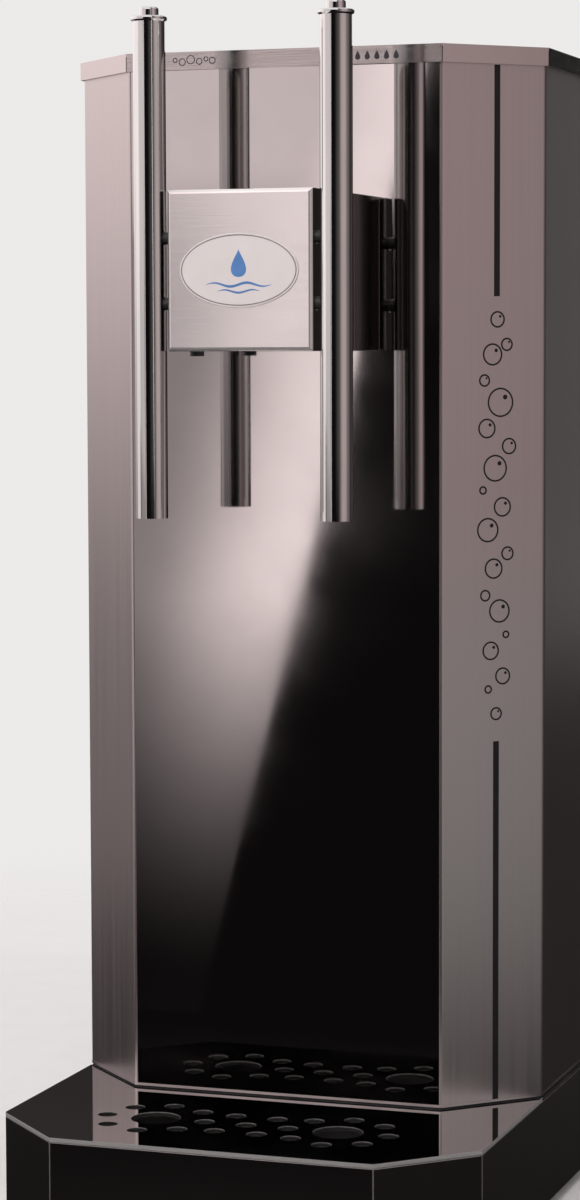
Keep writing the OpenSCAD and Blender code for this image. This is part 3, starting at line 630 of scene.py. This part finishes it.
def strip(name, path, z0, z1, proud, sunk, mat):
    """Closed strip of sheet that follows a path on a wall, in millimetres."""
    bm = bmesh.new()
    rings = []
    for at, out in path:
        inner, outer = at - out * sunk, at + out * proud
        ends = ((inner, z0), (outer, z0), (outer, z1), (inner, z1))
        rings.append([bm.verts.new((p.x * MM, p.y * MM, z * MM)) for p, z in ends])
    for one, two in zip(rings, rings[1:]):
        for i in range(4):
            bm.faces.new((one[i], one[(i + 1) % 4], two[(i + 1) % 4], two[i]))
    bm.faces.new(rings[0])
    bm.faces.new(rings[-1])
    obj = add_piece(name, bm, mat, Matrix())


fold_r = 3
half_wide = side_high.x / MM
tower_front, tower_back = side_low.y / MM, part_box("rear_panel")[1].y / MM
tower_foot = side_low.z / MM
tower_plan = [
    (-half_wide, tower_back),
    (-half_wide, tower_front + corner_leg),
    (corner_leg - half_wide, tower_front),
    (half_wide - corner_leg, tower_front),
    (half_wide, tower_front + corner_leg),
    (half_wide, tower_back),
]
strip(
    "foot_highlight_trim",
    rounded_path(tower_plan, fold_r),
    z0=tower_foot - 1.0,
    z1=tower_foot + 0.3,
    proud=0.15,
    sunk=0.5,
    mat=highlight_trim_finish,
)


# Each return spring shortens as its button goes down, from the seat of its lower end; here each deforming
# node only gets a mesh of its own
for joint in frame["record"]["behaviour"]["joints"]:
    for part in joint.get("deforming_nodes", []):
        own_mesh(nodes[part["node"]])


# Camera at the viewing angle of the photograph
camera_data = bpy.data.cameras.new("camera")
camera_data.lens = 96.67
camera_data.sensor_width = 36.0
camera_data.clip_start = 0.05
camera_data.clip_end = 200.0
camera = bpy.data.objects.new("camera", camera_data)
camera_place = (0.5314, -1.5803, 0.4494)
to_the_right, down, roll = 18.906, 4.503, -0.172
camera.matrix_world = (
    Matrix.Translation(camera_place)
    @ Matrix.Rotation(math.radians(to_the_right), 4, "Z")
    @ Matrix.Rotation(math.radians(90 - down), 4, "X")
    @ Matrix.Rotation(math.radians(roll), 4, "Z")
)
scene.collection.objects.link(camera)
scene.camera = camera


# Studio in metres: pale floor, soft lamps, and cards that only polished metal shows
ROSE, WARM, NEUTRAL = (1.0, 0.88, 0.875), (1.0, 0.80, 0.80), (1.0, 0.98, 0.96)


def upright(one, two, z0, z1):
    """Corners of a card that stands on the line between two points of the plan."""
    return [(*one, z0), (*two, z0), (*two, z1), (*one, z1)]


def lying(x0, y0, x1, y1, z):
    return [(x0, y0, z), (x1, y0, z), (x1, y1, z), (x0, y1, z)]


def sheet(name, points, mat):
    mesh = bpy.data.meshes.new(name)
    mesh.from_pydata([Vector(p) for p in points], [], [list(range(len(points)))])
    mesh.materials.append(mat)
    obj = bpy.data.objects.new(name, mesh)
    scene.collection.objects.link(obj)
    return obj


def ramp(tree, direction, low, high, fan=None):
    """Value that goes from low to high along a direction; low and high are (place, value).

    With a fan (begin, middle), the place is measured from begin and divided by the distance from middle in Y.
    """
    value = along(tree, "Object", direction)
    if fan:
        begin, middle = fan
        away = maths(tree, "SUBTRACT", middle, along(tree, "Object", Y))
        value = maths(tree, "DIVIDE", maths(tree, "SUBTRACT", value, begin), away)
    return remap(tree, value, (low[0], high[0]), (low[1], high[1]), smooth=True)


def glow(name, ramps, least, colour):
    """Emission as bright as the first ramp, or as least where that is brighter, times the other ramps."""
    mat = bpy.data.materials.new(name)
    mat.use_nodes = True
    tree = mat.node_tree
    tree.nodes.clear()
    out = tree.nodes.new("ShaderNodeOutputMaterial")
    light = tree.nodes.new("ShaderNodeEmission")
    light.inputs["Color"].default_value = (*colour, 1)
    value = ramp(tree, *ramps[0])
    if least:
        value = maths(tree, "MAXIMUM", value, ramp(tree, *least))
    for row in ramps[1:]:
        value = maths(tree, "MULTIPLY", value, ramp(tree, *row))
    tree.links.new(value, light.inputs["Strength"])
    tree.links.new(light.outputs["Emission"], out.inputs["Surface"])
    return mat


def card(name, points, *ramps, least=None, colour=ROSE):
    """Glowing card that shows in reflections only."""
    obj = sheet(name, points, glow(f"{name}_glow", ramps, least, colour))
    obj.visible_camera = False
    obj.visible_diffuse = False
    obj.visible_transmission = False
    obj.visible_shadow = False


def pale_floor():
    """Pale floor round the object that fades into the backdrop."""
    fade_from, fade_to = 0.35, 1.3
    mat = start("floor", PALE, 0.0, 0.8)
    tint(mat, noise(mat, 30, 2), shade(PALE, 0.985), shade(PALE, 1.015))
    tree = mat.node_tree
    coord = tree.nodes.new("ShaderNodeTexCoord")
    length = tree.nodes.new("ShaderNodeVectorMath")
    length.operation = "LENGTH"
    tree.links.new(coord.outputs["Object"], length.inputs[0])
    clear = tree.nodes.new("ShaderNodeBsdfTransparent")
    blend = tree.nodes.new("ShaderNodeMixShader")
    fade = remap(tree, length.outputs["Value"], (fade_from, fade_to), smooth=True)
    tree.links.new(fade, blend.inputs["Fac"])
    tree.links.new(shader(mat).outputs["BSDF"], blend.inputs[1])
    tree.links.new(clear.outputs["BSDF"], blend.inputs[2])
    tree.links.new(blend.outputs["Shader"], tree.nodes["Material Output"].inputs["Surface"])
    return mat


floor_half = 1.4
sheet("floor", lying(-floor_half, -floor_half, floor_half, floor_half, 0), pale_floor())

# In front, on the wall and on the floor, a bright card ends on a slant and a dark card goes on from it
front_y, far_left, wing, far_right = -8.0, -13.9, -3.68, 6.1
low_z, high_z = 2.4, 7.0
slant, floor_edge, floor_slant = 0.246, -0.062, 0.318
fan_middle = 1.53
slant_ramp = ((1, -floor_slant, -slant), (-0.060, 0.27), (-0.006, 0.98), (floor_edge, fan_middle))


def edge_at(y, z=0.0):
    """X of the slanted edge."""
    return floor_edge + floor_slant * y + slant * z


def wall(left, right, z0, z1):
    """Corners of a card on the far wall; left and right are X at its lower and upper edge."""
    return [(left[0], front_y, z0), (right[0], front_y, z0), (right[1], front_y, z1), (left[1], front_y, z1)]


slanted = (edge_at(front_y), edge_at(front_y, low_z))
card(
    "front_card_left",
    wall((far_left, far_left), (wing, wing), 0, high_z),
    (Z, (0.1, 0.58), (1.4, 0.70)),
)
card(
    "front_card_bright",
    wall((wing, wing), slanted, 0, low_z),
    slant_ramp,
    (Z, (1.45, 1.0), (1.65, 0.0)),
    least=(Z, (0.56, 0.0), (1.02, 0.66)),
)
card(
    "front_card_top",
    wall((wing, wing), (far_right, far_right), low_z, high_z),
    (Z, (low_z, 0.0), (3.3, 1.2)),
)
card(
    "front_card_dark",
    wall(slanted, (far_right, far_right), 0, low_z),
    (X, (0.6, 0.004), (5.6, 0.08)),
)

# Cards on the floor keep clear of the base, whose front corners are cut off
bright_z, dark_z = 0.002, 0.001
bright_end, bright_end_left = -0.5, -1.0
base_half, base_cut_y, base_front_half, base_front_y = 0.127, -0.11, 0.085, -0.154
card(
    "floor_card_bright",
    [
        (far_left, front_y, bright_z),
        (edge_at(front_y), front_y, bright_z),
        (edge_at(bright_end), bright_end, bright_z),
        (bright_end_left, bright_end, bright_z),
    ],
    slant_ramp,
    (Y, (-4.4, 1.0), (-0.6, 0.006)),
)
card(
    "floor_card_dark",
    [
        (far_left, front_y, dark_z),
        (far_right, front_y, dark_z),
        (far_right, base_cut_y, dark_z),
        (base_half, base_cut_y, dark_z),
        (base_front_half, base_front_y, dark_z),
        (-base_front_half, base_front_y, dark_z),
        (-base_half, base_cut_y, dark_z),
        (far_left, base_cut_y, dark_z),
    ],
    (Y, (-0.5, 0.004), (-0.2, 0.010)),
)
side_reach = 0.9
left_floor_end, right_floor_end = 0.6, 3.2
card(
    "floor_card_left",
    lying(-side_reach, base_cut_y, -base_half, left_floor_end, dark_z),
    (Y, (-0.17, 0.01), (0.5, 0.03)),
)
card(
    "floor_card_right",
    lying(base_half, base_cut_y, side_reach, right_floor_end, dark_z),
    (Y, (-0.17, 0.01), (0.5, 0.02)),
)

# Cards that stand beside and behind the object
side_top, neutral_top, far_top = 1.3, 0.28, 3.0
right_reach = 0.85
right_front = (0.30, -0.5)
right_turn, right_rear, right_far = ((right_reach, y) for y in (0.0, 0.9, 5.0))
right_fade = (Z, (0.0, 0.75), (0.6, 1.0))
for part, z0, z1, colour in (("low", 0.0, neutral_top, NEUTRAL), ("high", neutral_top, side_top, WARM)):
    card(
        f"right_card_front_{part}",
        upright(right_front, right_turn, z0, z1),
        (Y, (-0.5, 0.07), (-0.33, 0.46)),
        (Y, (-0.22, 1.0), (0.0, 0.55)),
        right_fade,
        colour=colour,
    )
card(
    "right_card_back",
    upright(right_turn, right_rear, 0, side_top),
    (Y, (0.0, 0.20), (0.6, 0.04)),
    right_fade,
    colour=WARM,
)
card(
    "right_card_far",
    upright(right_rear, right_far, 0, far_top),
    (Y, (0.9, 0.04), (1.4, 0.01)),
)
left_front, left_turn, left_rear = ((-side_reach, y) for y in (-0.5, 0.0, 0.9))
card(
    "left_card_front",
    upright(left_turn, left_front, 0, side_top),
    (Z, (0.2, 0.7), (0.6, 1.05)),
)
card(
    "left_card_back",
    upright(left_rear, left_turn, 0, side_top),
    (Z, (0.15, 0.175), (0.78, 1.17)),
)
back_y, back_top, back_right = 0.95, 0.55, -0.14
card(
    "back_card_left",
    upright((-side_reach, back_y), (back_right, back_y), 0, back_top),
    (Z, (0.0, 0.01), (back_top, 0.04)),
)


def lamp(name, where, aim, size, power):
    """Soft lamp that reflections leave out."""
    data = bpy.data.lights.new(name, "AREA")
    data.shape = "RECTANGLE"
    data.size, data.size_y = size
    data.energy = power
    data.color = (1.0, 0.965, 0.955)
    obj = bpy.data.objects.new(name, data)
    obj.location = where
    obj.rotation_mode = "QUATERNION"
    obj.rotation_quaternion = (Vector(aim) - Vector(where)).to_track_quat("-Z", "Y")
    obj.visible_glossy = False
    scene.collection.objects.link(obj)


lamp("key_lamp", where=(-0.05, -0.85, 1.05), aim=(0, -0.1, 0.45), size=(0.8, 0.35), power=6)
lamp("top_lamp", where=(0.2, 0.3, 2.2), aim=(0, 0, 0.3), size=(1.8, 1.8), power=16)
lamp("back_lamp", where=(-0.8, 2.2, 1.6), aim=(0, 0, 0.3), size=(1.4, 1.4), power=14)


def background(tree, colour, strength):
    node = tree.nodes.new("ShaderNodeBackground")
    node.inputs["Color"].default_value = (*colour, 1)
    node.inputs["Strength"].default_value = strength
    return node.outputs["Background"]


def studio_world():
    """Pale backdrop that is seen and mirrored, and a softer light on all else."""
    world = bpy.data.worlds.new("studio")
    world.use_nodes = True
    tree = world.node_tree
    tree.nodes.clear()
    out = tree.nodes.new("ShaderNodeOutputWorld")
    mix = tree.nodes.new("ShaderNodeMixShader")
    rays = tree.nodes.new("ShaderNodeLightPath").outputs
    shown = maths(tree, "MAXIMUM", rays["Is Camera Ray"], rays["Is Glossy Ray"])
    shown = maths(tree, "MAXIMUM", shown, rays["Is Transmission Ray"])
    tree.links.new(shown, mix.inputs["Fac"])
    tree.links.new(background(tree, (1.0, 0.985, 0.98), 0.45), mix.inputs[1])
    tree.links.new(background(tree, PALE, 1.0), mix.inputs[2])
    tree.links.new(mix.outputs["Shader"], out.inputs["Surface"])
    return world


scene.world = studio_world()

bpy.context.view_layer.update()
